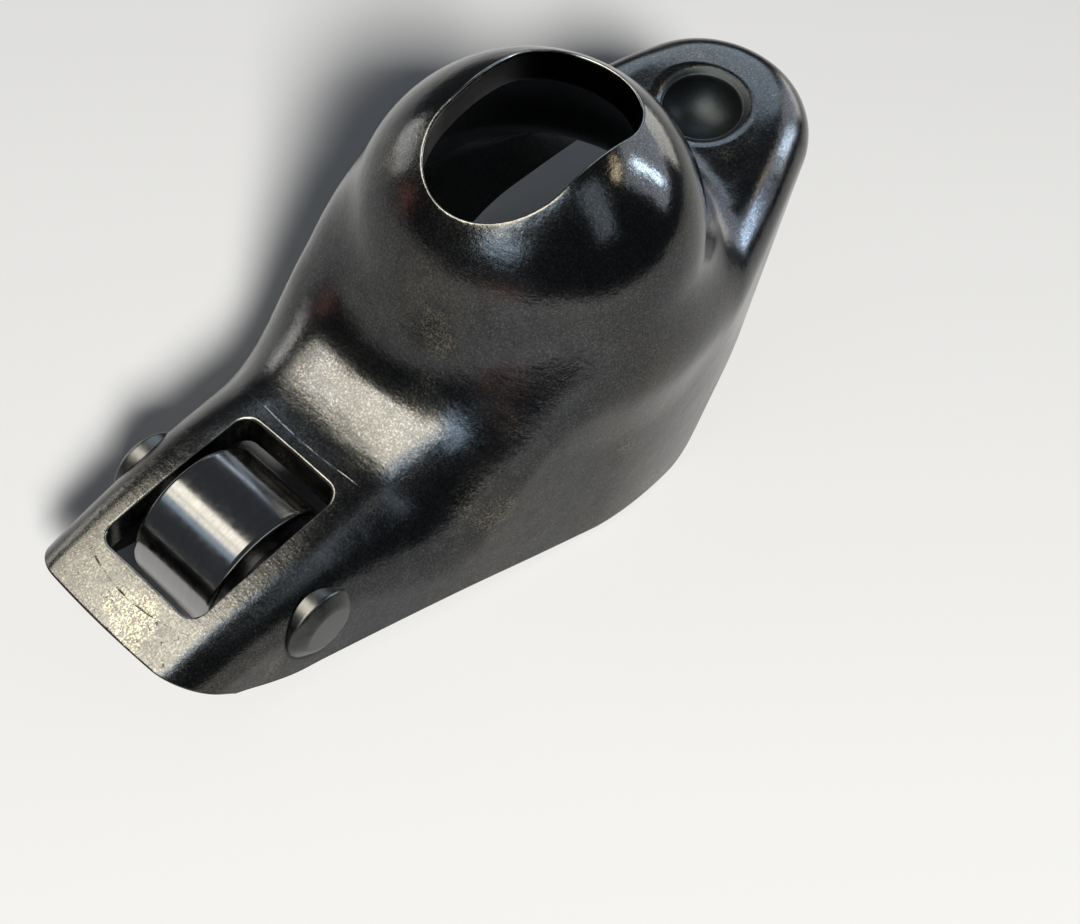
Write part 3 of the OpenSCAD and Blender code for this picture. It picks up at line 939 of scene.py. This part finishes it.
# level panels that make one large softbox overhead, with a cool edge: x and y from and to,
# brightness, colour and group
PANELS = [
    ("over_long", -0.26, -0.07, -0.15, 0.40, 12.0, CREAM, ARM_LIT),
    ("over_far", -0.33, -0.03, 0.40, 0.95, 7.0, CREAM, ARM_LIT),
    ("over_mid", -0.42, -0.26, -0.15, 0.28, 12.0, CREAM, ARM_LIT),
    ("over_wing", -0.64, -0.42, -0.15, 0.05, 11.0, CREAM, ARM_LIT),
    ("over_edge", -0.85, -0.05, -0.22, -0.15, 7.0, COOL, ARM_LIT),
    ("over_tip", -1.05, -0.64, -0.45, -0.08, 5.0, COOL, ARM_LIT),
    ("over_near", 0.00, 0.16, -0.80, -0.25, 1.3, PALE_COOL, ARM_LIT),
    ("roller_band", -0.265, -0.13, 0.02, 0.60, 3.4, CREAM, ROLLER_LIT),
    ("roller_wide", -0.38, -0.28, 0.02, 0.60, 2.9, CREAM, ROLLER_LIT),
    ("roller_edge", -0.54, -0.38, 0.02, 0.60, 0.9, COOL, ROLLER_LIT),
]
# cards and small softboxes round the part: place, size, brightness, colour and group
CARDS = [
    ("cool_strip", (0.53, -0.28, 0.33), (0.05, 0.26), 26.0, COOL, ARM_LIT),
    ("cool_panel", (0.70, -0.20, 0.42), (0.70, 0.50), 2.2, (0.82, 0.88, 1.0), ARM_LIT),
    ("back_panel", (0.47, 0.39, 0.51), (0.60, 0.50), 2.8, (0.72, 0.86, 1.0), ARM_LIT),
    ("rear_card", (0.90, 0.00, 0.13), (0.36, 0.20), 3.0, WARM_WHITE, ARM_LIT),
    ("gold_card", (0.295, -0.248, 0.46), (0.12, 0.05), 7.0, (1.0, 0.84, 0.58), ARM_LIT),
    ("far_card", (-0.11, 0.90, 0.11), (0.40, 0.20), 4.0, WARM_WHITE, ARM_LIT),
    ("warm_far", (-0.40, 0.58, 0.09), (0.16, 0.12), 0.9, (1.0, 0.42, 0.32), ARM_LIT),
    ("warm_near", (-0.60, -0.30, 0.05), (0.30, 0.10), 0.6, (1.0, 0.50, 0.36), ARM_LIT),
    ("roller_line", (0.45, 0.27, 0.29), (0.50, 0.035), 2.6, (0.75, 0.86, 1.0), ROLLER_LIT),
    ("floor_key", (-0.529, -0.702, 0.662), (0.24, 0.24), 100.0, (1.0, 0.985, 0.95), FLOOR_LIT),
]
for name, x0, x1, y0, y1, radiance, color, seen_by in PANELS:
    x, y = (x0 + x1) / 2, (y0 + y1) / 2
    softbox(name, (x, y, PANEL_Z), (x, y, 0), (x1 - x0, y1 - y0), radiance, color, seen_by)
for name, where, size, radiance, color, seen_by in CARDS:
    softbox(name, where, AIM, size, radiance, color, seen_by)

world = bpy.data.worlds.new("studio")
world.use_nodes = True
background = world.node_tree.nodes["Background"]
background.inputs["Color"].default_value = (0.80, 0.88, 1.0, 1)
background.inputs["Strength"].default_value = 0.09
bpy.context.scene.world = world

# the camera, fitted to the photograph: the frame's width and the focal length in its pixels, and
# the camera's place in millimetres, with X = 0 at the dome's centre
FRAME_W, FOCAL_PX, SENSOR_MM = 1080.0, 1600.0, 36.0
EYE = (-84.896, -56.287, 116.811)
RIGHT = Vector((0.65722, -0.73629, 0.16109))
DOWN = Vector((-0.52088, -0.59818, -0.609))
AHEAD = Vector((0.54475, 0.31633, -0.77664))
lens = bpy.data.cameras.new("camera")
lens.sensor_width = SENSOR_MM
lens.lens = SENSOR_MM * FOCAL_PX / FRAME_W
lens.clip_start = 0.01
lens.clip_end = 10
camera = bpy.data.objects.new("camera", lens)
turned = Matrix((RIGHT, -DOWN, -AHEAD)).transposed().to_4x4()
place = Vector((metres(EYE[0]), EYE[1] / 1000, EYE[2] / 1000))
camera.matrix_world = Matrix.Translation(place) @ turned
bpy.context.scene.collection.objects.link(camera)
bpy.context.scene.camera = camera
bpy.context.scene.view_settings.view_transform = "Standard"
